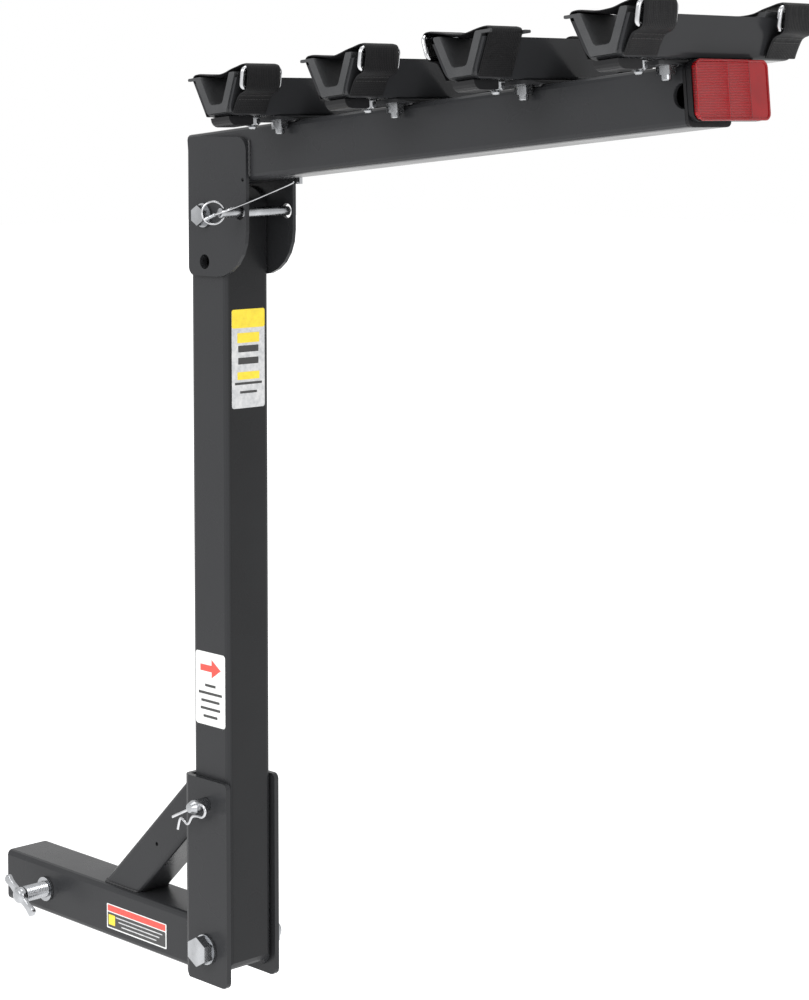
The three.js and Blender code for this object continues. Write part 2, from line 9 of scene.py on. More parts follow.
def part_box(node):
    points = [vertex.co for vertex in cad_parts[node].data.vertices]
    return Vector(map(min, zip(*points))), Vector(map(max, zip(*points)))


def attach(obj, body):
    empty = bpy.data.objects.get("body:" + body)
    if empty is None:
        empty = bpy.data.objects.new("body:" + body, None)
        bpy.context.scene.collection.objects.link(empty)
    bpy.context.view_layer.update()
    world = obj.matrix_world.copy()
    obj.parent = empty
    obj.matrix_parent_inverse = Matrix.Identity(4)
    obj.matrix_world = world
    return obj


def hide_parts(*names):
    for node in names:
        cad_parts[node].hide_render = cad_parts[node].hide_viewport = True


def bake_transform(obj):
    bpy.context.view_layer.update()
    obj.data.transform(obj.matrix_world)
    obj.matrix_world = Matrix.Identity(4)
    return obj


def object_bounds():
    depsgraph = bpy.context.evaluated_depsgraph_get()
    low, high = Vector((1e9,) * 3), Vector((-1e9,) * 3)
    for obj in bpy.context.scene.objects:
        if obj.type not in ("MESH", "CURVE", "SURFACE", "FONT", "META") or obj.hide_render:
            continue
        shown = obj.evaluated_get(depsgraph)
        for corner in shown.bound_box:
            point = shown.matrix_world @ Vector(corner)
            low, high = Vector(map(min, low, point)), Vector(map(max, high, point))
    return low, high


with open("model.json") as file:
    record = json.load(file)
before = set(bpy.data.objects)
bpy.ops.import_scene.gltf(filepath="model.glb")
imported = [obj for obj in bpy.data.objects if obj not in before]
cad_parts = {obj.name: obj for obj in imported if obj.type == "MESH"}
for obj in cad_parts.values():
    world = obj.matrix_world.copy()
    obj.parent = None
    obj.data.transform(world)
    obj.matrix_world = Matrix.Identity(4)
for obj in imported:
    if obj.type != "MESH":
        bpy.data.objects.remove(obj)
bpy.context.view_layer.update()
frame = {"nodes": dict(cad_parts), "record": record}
NODES = frame["nodes"]

# ---------------------------------------------------------------- places, in metres

MM = 0.001
POST_X = 258
ARM_Z = 679
SLOPE = math.radians(5.5)
BEAM_TOP = 74.8
CRADLE_BASE = 78.1
CRADLES = [115, 261, 407.5, 554]
BEAM_END = 563
PARK_X, PARK_Z = POST_X + 49.5, 683
LABEL_FACE = 25.45  # just outside the flat faces of the shank and post
TILT_PIN_Z = 138
CLIP_Y = -44.5


def row(x, y, z):
    """A point given in millimetres in the row frame."""
    return Vector((x, y, z)) * MM


def arm(u, v, w):
    """A point given in millimetres along, across and above the beam."""
    x = POST_X + u * math.cos(SLOPE) - w * math.sin(SLOPE)
    z = ARM_Z + u * math.sin(SLOPE) + w * math.cos(SLOPE)
    return row(x, v, z)


# ---------------------------------------------------------------- camera and stage

CAMERA_PLACE = (2031.14, -1488.08, 770.06)
CAMERA_ANGLES = (46.042, 4.194)  # azimuth and elevation in degrees
FOCAL_PIXELS = 2533.8
SENSOR_PER_PIXEL = 0.036  # a 36 mm sensor over the picture's 1000 rows


def make_camera():
    azimuth, elevation = (math.radians(angle) for angle in CAMERA_ANGLES)
    ce, se = math.cos(elevation), math.sin(elevation)
    back = Vector((math.sin(azimuth) * ce, -math.cos(azimuth) * ce, se))
    right = Vector((math.cos(azimuth), math.sin(azimuth), 0))
    up = back.cross(right)
    data = bpy.data.cameras.new("camera")
    data.sensor_width = 36
    data.lens = FOCAL_PIXELS * SENSOR_PER_PIXEL
    data.shift_y = -0.2
    data.clip_end = 60
    cam = bpy.data.objects.new("camera", data)
    cam.matrix_world = Matrix((right, up, back)).transposed().to_4x4()
    cam.location = row(*CAMERA_PLACE)
    bpy.context.scene.collection.objects.link(cam)
    bpy.context.scene.camera = cam


def area_light(name, place, target, size, power):
    data = bpy.data.lights.new(name, "AREA")
    data.shape = "RECTANGLE"
    data.size, data.size_y = size
    data.energy = power
    lamp = bpy.data.objects.new(name, data)
    lamp.location = place
    lamp.rotation_euler = (Vector(target) - Vector(place)).to_track_quat("-Z", "Y").to_euler()
    bpy.context.scene.collection.objects.link(lamp)


make_camera()

# ---------------------------------------------------------------- mesh helpers

def new_mesh(name, verts, faces, material, body, smooth=30, uvs=None):
    mesh = bpy.data.meshes.new(name)
    mesh.from_pydata([tuple(v) for v in verts], [], faces)
    bm = bmesh.new()
    bm.from_mesh(mesh)
    bmesh.ops.recalc_face_normals(bm, faces=bm.faces)
    bm.to_mesh(mesh)
    bm.free()
    if uvs is not None:
        layer = mesh.uv_layers.new(name="UVMap")
        for loop in mesh.loops:
            layer.data[loop.index].uv = uvs[loop.vertex_index]
    mesh.polygons.foreach_set("use_smooth", [True] * len(mesh.polygons))
    mesh.set_sharp_from_angle(angle=math.radians(smooth))
    obj = bpy.data.objects.new(name, mesh)
    bpy.context.scene.collection.objects.link(obj)
    obj.data.materials.append(material)
    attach(obj, body)
    return obj


def loft_faces(rows, sides, closed=False):
    """Faces that join rows of points, with a cap at each end unless the rows close on themselves."""
    faces = []
    for i in range(rows if closed else rows - 1):
        here, there = i * sides, (i + 1) % rows * sides
        for k in range(sides):
            q = (k + 1) % sides
            faces.append((here + k, here + q, there + q, there + k))
    if not closed:
        faces.append(tuple(range(sides)))
        faces.append(tuple((rows - 1) * sides + k for k in range(sides)))
    return faces


CORNERS = ((1, 1, 0), (-1, 1, 90), (-1, -1, 180), (1, -1, 270))


def rounded_rectangle(half_x, half_y, corner, steps):
    """Outline of a rectangle about its centre, with steps along each rounded corner."""
    outline = []
    for sx, sy, start in CORNERS:
        for k in range(steps + 1):
            a = math.radians(start + k * 90 / steps)
            outline.append((sx * (half_x - corner) + corner * math.cos(a),
                            sy * (half_y - corner) + corner * math.sin(a)))
    return outline


def filled_in(outline):
    """A closed outline with points added about 3 mm apart along its straight runs."""
    dense = []
    for a, b in zip(outline, outline[1:] + outline[:1]):
        steps = max(1, round((b - a).length / (3 * MM)))
        dense += [a.lerp(b, k / steps) for k in range(steps)]
    return dense


def smooth_path(points, count):
    """count points evenly along a Catmull-Rom curve."""
    pts = [Vector(p) for p in points]
    pts = [2 * pts[0] - pts[1]] + pts + [2 * pts[-1] - pts[-2]]
    fine = []
    for i in range(1, len(pts) - 2):
        a, b, c, d = pts[i - 1:i + 3]
        for k in range(16):
            t = k / 16
            fine.append(0.5 * (2 * b + (c - a) * t + (2 * a - 5 * b + 4 * c - d) * t * t
                               + (3 * b - a - 3 * c + d) * t ** 3))
    fine.append(pts[-2])
    lengths = [0.0]
    for p, q in zip(fine, fine[1:]):
        lengths.append(lengths[-1] + (q - p).length)
    out, j = [], 0
    for i in range(count):
        goal = lengths[-1] * i / (count - 1)
        while j < len(fine) - 2 and lengths[j + 1] < goal:
            j += 1
        span = lengths[j + 1] - lengths[j] or 1e-9
        out.append(fine[j].lerp(fine[j + 1], min(1, (goal - lengths[j]) / span)))
    return out


def frames(points, closed):
    """Tangent, side and up at each point, carried along without twist."""
    n = len(points)
    tangents = []
    for i in range(n):
        a = points[i - 1] if closed or i else points[i]
        b = points[(i + 1) % n] if closed or i < n - 1 else points[i]
        tangents.append((b - a).normalized())
    side = tangents[0].orthogonal().normalized()
    result = []
    for t in tangents:
        side = (side - t * side.dot(t)).normalized()
        result.append((t, side, t.cross(side)))
    return result


def sweep(name, points, radius, sides, material, body, closed=False, ripple=None):
    """Round section along points; radius may change through ripple(i)."""
    verts = []
    for i, (p, (_, side, up)) in enumerate(zip(points, frames(points, closed))):
        r = radius * (ripple(i) if ripple else 1)
        for k in range(sides):
            a = 2 * math.pi * k / sides
            verts.append(p + (side * math.cos(a) + up * math.sin(a)) * r)
    faces = loft_faces(len(points), sides, closed)
    return new_mesh(name, verts, faces, material, body, 50)


def turned(name, profile, origin, axis, material, body, sides=40, smooth=30):
    """A profile of (radius, height) in millimetres, turned about an axis."""
    axis = Vector(axis).normalized()
    one = axis.orthogonal().normalized()
    two = axis.cross(one)
    verts = []
    for r, h in profile:
        for k in range(sides):
            a = 2 * math.pi * k / sides
            verts.append(origin + (axis * h + (one * math.cos(a) + two * math.sin(a)) * r) * MM)
    return new_mesh(name, verts, loft_faces(len(profile), sides), material, body, smooth)


def bevel(obj, width):
    mod = obj.modifiers.new("bevel", "BEVEL")
    mod.width = width * MM
    mod.segments = 2
    mod.limit_method = "ANGLE"
    mod.angle_limit = math.radians(35)
    mod.use_clamp_overlap = True


# ---------------------------------------------------------------- materials

def new_material(name):
    material = bpy.data.materials.new(name)
    material.use_nodes = True
    tree = material.node_tree
    return material, tree, tree.nodes["Principled BSDF"]


def node(tree, kind, inputs=None, **settings):
    made = tree.nodes.new(kind)
    for key, value in settings.items():
        setattr(made, key, value)
    for key, value in (inputs or {}).items():
        if isinstance(value, bpy.types.NodeSocket):
            tree.links.new(value, made.inputs[key])
        else:
            made.inputs[key].default_value = value
    return made


def math_node(tree, operation, a, b=0.0):
    return node(tree, "ShaderNodeMath", {0: a, 1: b}, operation=operation).outputs[0]


def noise(tree, scale, detail=2.0, rough=0.5, coord=None):
    coord = coord or node(tree, "ShaderNodeTexCoord").outputs["Object"]
    return node(tree, "ShaderNodeTexNoise",
                {"Vector": coord, "Scale": scale, "Detail": detail, "Roughness": rough}).outputs["Fac"]


def spread(tree, value, low, high, from_low=0.3, from_high=0.7):
    return node(tree, "ShaderNodeMapRange", {
        "Value": value, "From Min": from_low, "From Max": from_high,
        "To Min": low, "To Max": high}).outputs[0]


def blend_colour(tree, factor, one, two):
    mix = node(tree, "ShaderNodeMix", {"Factor": factor}, data_type="RGBA")
    for socket, colour in ((mix.inputs[6], one), (mix.inputs[7], two)):
        if isinstance(colour, bpy.types.NodeSocket):
            tree.links.new(colour, socket)
        else:
            socket.default_value = (*colour, 1)
    return mix.outputs[2]


def bump(tree, shader, height, strength, distance):
    made = node(tree, "ShaderNodeBump", {"Height": height, "Strength": strength, "Distance": distance})
    tree.links.new(made.outputs["Normal"], shader.inputs["Normal"])


def paint_material(name="gloss_black_powder", base=(0.006, 0.0062, 0.0066), low=0.24, high=0.34,
                   specular=0.16):
    material, tree, shader = new_material(name)
    peel = noise(tree, 620, 2.0)
    cloud = noise(tree, 14, 3.0)
    lighter = tuple(c * 1.3 + 0.001 for c in base)
    # Convex edges, found by pointiness, are painted lighter: a painted highlight along the edges. The sparse
    # lighter specks mixed in with them are dust.
    edge = spread(tree, node(tree, "ShaderNodeNewGeometry").outputs["Pointiness"], 0, 0.55, 0.515, 0.56)
    speck = spread(tree, noise(tree, 900, 1.0), 0, 1, 0.7, 0.78)
    body = blend_colour(tree, spread(tree, cloud, 0, 1), base, lighter)
    dust_and_edge_highlight = blend_colour(tree, math_node(tree, "MAXIMUM", edge, math_node(tree, "MULTIPLY", speck, 0.25)),
                        body, (0.04, 0.041, 0.044))
    tree.links.new(dust_and_edge_highlight, shader.inputs["Base Color"])
    tree.links.new(spread(tree, cloud, low, high), shader.inputs["Roughness"])
    shader.inputs["Specular IOR Level"].default_value = specular
    bump(tree, shader, peel, 0.10, 0.0006)
    return material


def metal_material(name, base, low, high, grain=380, depth=0.12):
    material, tree, shader = new_material(name)
    coord = node(tree, "ShaderNodeTexCoord").outputs["Object"]
    stretched = node(tree, "ShaderNodeMapping", {"Vector": coord, "Scale": (1, 6, 1)}).outputs[0]
    streak = noise(tree, grain, 3.0, 0.6, stretched)
    cloud = noise(tree, 60, 2.0)
    dull = tuple(c * 0.72 for c in base)
    tree.links.new(blend_colour(tree, spread(tree, cloud, 0, 1), dull, base), shader.inputs["Base Color"])
    tree.links.new(spread(tree, streak, low, high), shader.inputs["Roughness"])
    shader.inputs["Metallic"].default_value = 1
    bump(tree, shader, streak, depth, 0.0003)
    return material


def rubber_material():
    material, tree, shader = new_material("grey_liner_rubber")
    grain = noise(tree, 1500, 3.0, 0.7)
    cloud = noise(tree, 40, 3.0)
    colour = blend_colour(tree, spread(tree, cloud, 0, 1), (0.022, 0.023, 0.025), (0.036, 0.037, 0.039))
    tree.links.new(colour, shader.inputs["Base Color"])
    tree.links.new(spread(tree, grain, 0.55, 0.8), shader.inputs["Roughness"])
    bump(tree, shader, grain, 0.35, 0.0005)
    return material


def webbing_material():
    """Plain weave: rows and columns in millimetres of the strap's own surface."""
    material, tree, shader = new_material("black_webbing")
    uv = node(tree, "ShaderNodeTexCoord").outputs["UV"]
    split = node(tree, "ShaderNodeSeparateXYZ", {"Vector": uv})
    across = math_node(tree, "MULTIPLY", split.outputs[0], 2 * math.pi / 1.9)
    along = math_node(tree, "MULTIPLY", split.outputs[1], 2 * math.pi / 1.5)
    shift = math_node(tree, "MULTIPLY", math_node(tree, "SINE", across), 1.1)
    rows = math_node(tree, "SINE", math_node(tree, "ADD", along, shift))
    ribs = math_node(tree, "ABSOLUTE", math_node(tree, "SINE", math_node(tree, "MULTIPLY", across, 0.5)))
    weave = math_node(tree, "ADD", math_node(tree, "MULTIPLY", rows, 0.35), ribs)
    fuzz = noise(tree, 2600, 2.0)
    fade = noise(tree, 45, 3.0)
    height = math_node(tree, "ADD", weave, math_node(tree, "MULTIPLY", fuzz, 0.5))
    # Colour darkens in the weave's hollows and lightens on its crests, following its height: painted shade,
    # multiplied by a random fade.
    weave_shade_and_fade = math_node(tree, "MULTIPLY", spread(tree, weave, 0.2, 1, -0.3, 1.3), spread(tree, fade, 0.6, 1))
    colour = blend_colour(tree, weave_shade_and_fade, (0.0012, 0.0012, 0.0014), (0.0085, 0.0085, 0.0095))
    tree.links.new(colour, shader.inputs["Base Color"])
    tree.links.new(spread(tree, fade, 0.42, 0.6), shader.inputs["Roughness"])
    shader.inputs["Specular IOR Level"].default_value = 0.16
    bump(tree, shader, height, 0.5, 0.0004)
    return material


def plastic_material(name, base, low, high, grain=1100, depth=0.2):
    material, tree, shader = new_material(name)
    speckle = noise(tree, grain, 2.0)
    cloud = noise(tree, 30, 3.0)
    darker = tuple(c * 0.7 for c in base)
    tree.links.new(blend_colour(tree, spread(tree, cloud, 0, 1), darker, base), shader.inputs["Base Color"])
    tree.links.new(spread(tree, speckle, low, high), shader.inputs["Roughness"])
    shader.inputs["Specular IOR Level"].default_value = 0.2
    bump(tree, shader, speckle, depth, 0.0004)
    return material


def lens_material():
    """Red prism reflector: crossed grooves, turned between its zones."""
    material, tree, shader = new_material("red_prism_lens")
    coord = node(tree, "ShaderNodeTexCoord").outputs["Object"]
    split = node(tree, "ShaderNodeSeparateXYZ", {"Vector": coord})
    y, z = split.outputs[1], split.outputs[2]
    pitch = 2 * math.pi / 0.0024
    first_rib, second_rib = 0.013, 0.0385
    mirrored = math_node(tree, "ABSOLUTE", math_node(tree, "SUBTRACT", y, first_rib))
    rising = math_node(tree, "ADD", mirrored, z)
    falling = math_node(tree, "SUBTRACT", mirrored, z)
    one = math_node(tree, "SINE", math_node(tree, "MULTIPLY", rising, pitch))
    two = math_node(tree, "SINE", math_node(tree, "MULTIPLY", falling, pitch))
    grid = math_node(tree, "MULTIPLY", one, two)
    # In the grooved zone the colour follows the facet grid, bright on its crests and dark in its grooves:
    # painted light and shade of the prisms. The plain zone beyond the second rib keeps only a random tone.
    facet_light_and_shade = spread(tree, grid, 0, 1, -0.6, 0.6)
    side = math_node(tree, "GREATER_THAN", y, second_rib)
    plain = spread(tree, noise(tree, 30, 2.0), 0.35, 0.6)
    grooved = math_node(tree, "SUBTRACT", 1.0, side)
    facet_shading_and_tone = math_node(tree, "ADD", math_node(tree, "MULTIPLY", facet_light_and_shade, grooved),
                      math_node(tree, "MULTIPLY", plain, side))
    colour = blend_colour(tree, facet_shading_and_tone, (0.07, 0.001, 0.002), (0.42, 0.004, 0.008))
    tree.links.new(colour, shader.inputs["Base Color"])
    shader.inputs["Roughness"].default_value = 0.16
    shader.inputs["Specular IOR Level"].default_value = 0.3
    shader.inputs["Coat Weight"].default_value = 0.15
    shader.inputs["Coat Roughness"].default_value = 0.05
    height = math_node(tree, "MULTIPLY", grid, grooved)
    bump(tree, shader, height, 0.6, 0.0006)
    return material


def print_material(name, base, second=None):
    material, tree, shader = new_material(name)
    fleck = noise(tree, 220, 3.0)
    second = second or tuple(c * 0.82 for c in base)
    tree.links.new(blend_colour(tree, spread(tree, fleck, 0, 1), second, base), shader.inputs["Base Color"])
    tree.links.new(spread(tree, fleck, 0.28, 0.42), shader.inputs["Roughness"])
    bump(tree, shader, fleck, 0.06, 0.0003)
    return material


PAINT = paint_material()
BAR_PAINT = paint_material("gloss_black_cradle", (0.0025, 0.0026, 0.0028), 0.14, 0.22, 0.12)
ZINC = metal_material("zinc_plate", (0.44, 0.45, 0.465), 0.16, 0.34)
WIRE = metal_material("bright_wire", (0.58, 0.585, 0.6), 0.08, 0.2, 900, 0.06)
RUBBER = rubber_material()
WEBBING = webbing_material()
PLASTIC = plastic_material("black_moulding", (0.008, 0.008, 0.009), 0.36, 0.55)
LENS = lens_material()
WELD = metal_material("painted_weld", (0.02, 0.02, 0.022), 0.3, 0.5, 200, 0.5)
WELD.node_tree.nodes["Principled BSDF"].inputs["Metallic"].default_value = 0.2
WHITE = print_material("label_white", (0.78, 0.79, 0.78))
YELLOW = print_material("label_yellow", (0.86, 0.66, 0.03))
GREY = print_material("label_grey", (0.42, 0.43, 0.44), (0.6, 0.6, 0.6))
INK = print_material("label_ink", (0.03, 0.03, 0.03))
RED = print_material("label_red", (0.75, 0.07, 0.05))

SLOT_LOOK = {
    "black_paint": PAINT, "zinc_plate": ZINC, "bright_wire": WIRE, "grey_rubber": RUBBER,
    "black_webbing": WEBBING, "black_plastic": PLASTIC, "red_lens": LENS,
}
BEVELS = {"black_paint": 0.7, "zinc_plate": 0.5, "grey_rubber": 0.9, "black_plastic": 0.7, "red_lens": 0.7}


def dress_cad_nodes():
    for part in frame["record"]["subparts"]:
        obj = NODES[part["node"]]
        slot = part["material_slot"]
        painted_bar = part["node"].startswith("crossbar_") and slot == "black_paint"
        look = BAR_PAINT if painted_bar else SLOT_LOOK[slot]
        obj.data.materials.clear()
        obj.data.materials.append(look)
        obj.data.polygons.foreach_set("use_smooth", [True] * len(obj.data.polygons))
        obj.data.set_sharp_from_angle(angle=math.radians(32))
        if slot in BEVELS:
            bevel(obj, BEVELS[slot])


dress_cad_nodes()

# ---------------------------------------------------------------- lanyard of the lock pin

def make_lanyard():
    """Thin wire rope from the clip on the beam to the pin's ring.

    It cuts the post once the arm folds."""
    x = PARK_X + 10.8
    route = smooth_path([
        row(PARK_X - 10, -61.5, 677.2), row(PARK_X - 1.5, -57, 681.5), row(PARK_X + 10.5, -51.7, 686),
        row(x, -25, 693.5), row(x, 0, 701), row(x, 19.6, 707), row(x, 25.4, 709.4),
    ], 60)
    tube = sweep("lanyard", route, 0.95 * MM, 10, WIRE, "arm", ripple=lambda i: 1 + 0.05 * (-1) ** i)
    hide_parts("lanyard_wire")
    tube.parent = None
    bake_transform(tube)


make_lanyard()

# ---------------------------------------------------------------- cradles: straps, rings, liners, small bolts

STRAP_MID = 82
STRAP_W = 36.5
STRAP_T = 1.8
STRAP_LINE = [
    (-16.9, 1.6), (-20.4, 9.4), (-25.2, 19.8), (-30.0, 30.2), (-31.6, 34.0), (-31.0, 37.2), (-27.0, 38.4),
    (-20, 37.8), (-10, 36.2), (0, 35.4), (10, 36.4), (19, 38.4), (27, 39.8), (33, 40.9), (37, 40.9),
    (39.8, 39.2), (40.4, 35.6), (39.9, 30.6), (38.9, 25.6), (38.2, 22.4), (36.8, 19.6), (33.8, 17.9),
    (29.8, 16.9), (26.6, 15.2), (23.6, 11.2), (20.6, 6.2), (18.2, 1.4),
]
STRAP_FOLDS = ((118, 5), (142, 4))  # place along the strap and width of each pulled fold


def strap(number, label, y_mid, facing):
    """Webbing with crowned edges, a sag over the mouth and wrinkles from its pull."""
    base = CRADLES[number - 1]
    line = smooth_path([Vector((u, w, 0)) for u, w in STRAP_LINE], 96)
    across = 14
    section = []
    for k in range(across + 1):
        t = k / across
        edge = min(t, 1 - t) * STRAP_W
        section.append((STRAP_W * (t - 0.5), STRAP_T / 2 * min(1.0, 0.45 + edge / 1.6)))
    loop = [(a, h) for a, h in section] + [(a, -h) for a, h in reversed(section)]
    verts, uvs = [], []
    run = 0.0
    seed = number * 1.7 + (0.6 if label == "far" else 0)
    for i, p in enumerate(line):
        before, after = line[max(i - 1, 0)], line[min(i + 1, len(line) - 1)]
        tangent = (after - before).normalized()
        normal = Vector((-tangent.y, tangent.x, 0))
        run += (p - before).length if i else 0
        free = math.exp(-((p.x - 1) / 13) ** 2) if p.y > 34 else 0.0
        fold = sum(math.exp(-((run - place) / width) ** 2) for place, width in STRAP_FOLDS)
        for a, h in loop:
            sag = -1.5 * free * (1 - (2 * a / STRAP_W) ** 2)
            crease = 0.35 * free * math.sin(a * 0.42 + run * 0.21 + seed)
            crease += 0.22 * fold * math.sin(a * 0.8 + seed)
            q = p + normal * (h + sag + crease)
            u = facing * q.x
            verts.append(arm(base + u, y_mid + a * (1 - 0.012 * fold), CRADLE_BASE + q.y))
            uvs.append((a, run))
    faces = loft_faces(len(line), len(loop))
    obj = new_mesh(f"webbing_{number}_{label}", verts, faces, WEBBING, "arm", 50, uvs)
    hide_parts(f"strap_{number}_{label}")
    stitches(number, label, y_mid, facing, line)


STITCH_ROWS = (84, 87)  # places in the strap's line of 96 points
BOX_FACES = ((0, 1, 2, 3), (4, 5, 6, 7), (0, 1, 5, 4), (1, 2, 6, 5), (2, 3, 7, 6), (3, 0, 4, 7))


def stitches(number, label, y_mid, facing, line):
    """Two short rows of thread across the strap's lower end."""
    base = CRADLES[number - 1]
    verts, faces = [], []
    for index in STITCH_ROWS:
        p = line[index]
        tangent = (line[index + 1] - line[index - 1]).normalized()
        normal = Vector((-tangent.y, tangent.x, 0))
        for k in range(11):
            a = -15.5 + k * 3.1
            left, right, half = a - 1.1, a + 1.1, 0.22
            corners = [(left, -half), (right, -half), (right, half), (left, half)]
            start = len(verts)
            for lift in (0.7, 1.05):
                for y, s in corners:
                    shrink = 1.0 if lift < 1 else 0.7
                    q = p + normal * (STRAP_T / 2 + lift - 0.7) + tangent * s * shrink
                    verts.append(arm(base + facing * q.x, y_mid + a + (y - a) * shrink, CRADLE_BASE + q.y))
            faces += [tuple(start + j for j in face) for face in BOX_FACES]
    obj = new_mesh(f"stitch_{number}_{label}", verts, faces, INK, "arm", 60)


def ring(number, label, y_mid, facing):
    """Rectangular wire loop that the strap runs through, leaning with the cradle's wall."""
    base = CRADLES[number - 1]
    lean = math.radians(76.8)
    centre_u, centre_w = 36, 29.5
    path = []
    for y, t in rounded_rectangle(20.7, 8.8, 4.0, 8):
        u = centre_u + t * math.cos(lean)
        w = centre_w + t * math.sin(lean)
        path.append(arm(base + facing * u, y_mid + y, CRADLE_BASE + w))
    obj = sweep(f"ring_{number}_{label}", filled_in(path), 1.85 * MM, 14, WIRE, "arm", closed=True)
    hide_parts(f"strap_ring_{number}_{label}")


def hex_prism(name, origin, axis, turn, flats, height, material, body):
    """Hexagon with its corners chamfered at the outer end."""
    axis = Vector(axis).normalized()
    one = Matrix.Rotation(turn, 3, axis) @ axis.orthogonal().normalized()
    two = axis.cross(one)
    radius = flats / math.sqrt(3)
    verts = []
    sides = 36
    rings = [(0, 1.0), (height - 1.4, 1.0), (height - 0.5, 0.95), (height, 0.84)]
    for h, keep in rings:
        chamfered = keep < 1
        for k in range(sides):
            a = 2 * math.pi * k / sides
            local = (a + math.pi / 6) % (math.pi / 3) - math.pi / 6
            flat = flats / 2 / math.cos(local)
            r = min(flat, radius * 0.9 * (keep / 0.95) if chamfered else radius)
            drop = h - (1.1 if chamfered else 0) * max(0, flat - flats / 2) / (radius - flats / 2)
            verts.append(origin + (axis * drop + (one * math.cos(a) + two * math.sin(a)) * r) * MM)
    return new_mesh(name, verts, loft_faces(len(rings), sides), material, body, 28)


def small_bolt(name, u, y, w, turns=3):
    """Washer, nut and thread end under a cradle."""
    down = (arm(u, y, w - 1) - arm(u, y, w)).normalized()
    washer = [(7.6, 0.1), (7.8, 0.5), (7.8, 1.3), (7.4, 1.6)]
    turned(f"{name}_washer", washer, arm(u, y, w), down, ZINC, "arm")
    hex_prism(f"{name}_nut", arm(u, y, w - 1.7), down, 0.4, 12, 5.6, ZINC, "arm")
    thread = [(3.1, 7.2)]
    for k in range(turns):
        thread += [(3.9, 7.6 + k * 1.2), (3.2, 8.2 + k * 1.2)]
    thread.append((2.6, 8.0 + turns * 1.2))
    turned(f"{name}_thread", thread, arm(u, y, w), down, ZINC, "arm", 28, 60)


def liner_grooves(number, label, y_mid):
    """Ribs moulded into the liner's floor, along the bicycle tube."""
    base = CRADLES[number - 1]
    for k, u in enumerate((-4.2, 0, 4.2)):
        path = [arm(base + u, y_mid + y, CRADLE_BASE + 10.25) for y in range(-20, 21, 5)]
        obj = sweep(f"liner_rib_{number}_{label}_{k}", path, 0.7 * MM, 10, RUBBER, "arm")


for number in (1, 2, 3, 4):
    facing = -1 if number == 3 else 1
    for label, side in (("near", -1), ("far", 1)):
        strap(number, label, side * STRAP_MID, facing)
        ring(number, label, side * STRAP_MID, facing)
        liner_grooves(number, label, side * STRAP_MID)
    station = CRADLES[number - 1]
    small_bolt(f"far_bolt_{number}", station, 33, BEAM_TOP - 0.4)
    small_bolt(f"foot_bolt_{number}", station, -64, CRADLE_BASE - 0.3, turns=2)

# ---------------------------------------------------------------- hitch bolt, tilt pin, clip and rings

def hitch_thread():
    """A helical thread on the hitch bolt, 1.95 mm pitch, with plain ends."""
    sides, pitch = 36, 1.95
    start, end = -4.0, -53.8
    crest, depth = 7.85, 1.05
    rows = int((start - end) / pitch * 8)
    verts = []
    for i in range(rows + 1):
        for k in range(sides):
            a = 2 * math.pi * k / sides
            y = start + (end - start) * i / rows
            phase = ((start - y) / pitch + k / sides) % 1.0
            tooth = abs(phase - 0.5) * 2
            fade = min(1, i / 6, (rows - i) / 6)
            r = crest - depth * fade * min(1, max(0, tooth * 1.25 - 0.12))
            verts.append(row(r * math.cos(a), y, r * math.sin(a)))
    faces = loft_faces(rows + 1, sides)
    obj = new_mesh("hitch_bolt_thread", verts, faces, ZINC, "hitch_screw", 60)
    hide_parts("hitch_bolt")


def tilt_pin():
    """Round pin with a tapered nose. It has no cross hole, so its clip's leg passes through it."""
    profile = [(3.0, 52.0), (4.3, 51.6), (5.9, 47.4), (6.3, 46.6), (6.35, 41.0), (6.35, -31.6), (10.6, -32.0),
               (11.0, -32.5), (11.0, -35.4), (9.8, -36.8), (7.0, -37.8), (3.0, -37.9)]
    obj = turned("tilt_pin_body", profile, row(POST_X, 0, TILT_PIN_Z), (0, -1, 0), ZINC, "tilt_pin_body", 48)
    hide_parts("tilt_pin")


def spring_clip():
    """R-shaped wire: straight leg through the pin, round loop, waved leg hugging the pin."""
    drop = math.radians(26)
    shape = [(-36, 0), (-27, 0), (-18, 0), (-9, 0), (0, 0), (6.5, 0.2), (10.6, 1.6), (12.8, 4.6), (12.4, 8.2),
             (9.6, 10.9), (5.4, 11.4), (1.6, 9.6), (-3.0, 7.9), (-7.4, 7.4), (-11.4, 9.2), (-15, 11.4),
             (-18.4, 11.2), (-21.4, 7.2), (-24.2, 4.3), (-27.0, 5.4), (-30.2, 8.6), (-33.6, 12.4)]
    points = []
    for along, below in shape:
        x = POST_X + along * math.cos(drop) + below * math.sin(drop)
        z = TILT_PIN_Z + along * math.sin(drop) - below * math.cos(drop)
        points.append(row(x, CLIP_Y, z))
    obj = sweep("spring_clip", smooth_path(points, 120), 1.4 * MM, 16, WIRE, "clip")
    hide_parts("r_clip")


RING_TURN = math.radians(46)
RING_Y = -47
RING_R = 10


def pin_ring():
    """Split ring, nearly two close turns of wire, standing out from the eye in the pin."""
    points = []
    turns, steps = 1.9, 120
    centre = Vector((PARK_X - RING_R * math.cos(RING_TURN), RING_Y - RING_R * math.sin(RING_TURN), PARK_Z))
    for i in range(steps + 1):
        a = math.pi / 2 + 2 * math.pi * turns * i / steps
        along, rise, apart = RING_R * math.cos(a), RING_R * math.sin(a), 1.9 * i / steps - 0.95
        points.append(row(centre.x + along * math.cos(RING_TURN) - apart * math.sin(RING_TURN),
                          centre.y + along * math.sin(RING_TURN) + apart * math.cos(RING_TURN),
                          centre.z + rise))
    obj = sweep("split_ring", points, 0.9 * MM, 12, WIRE, "lock_pin_body")
    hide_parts("pin_ring")


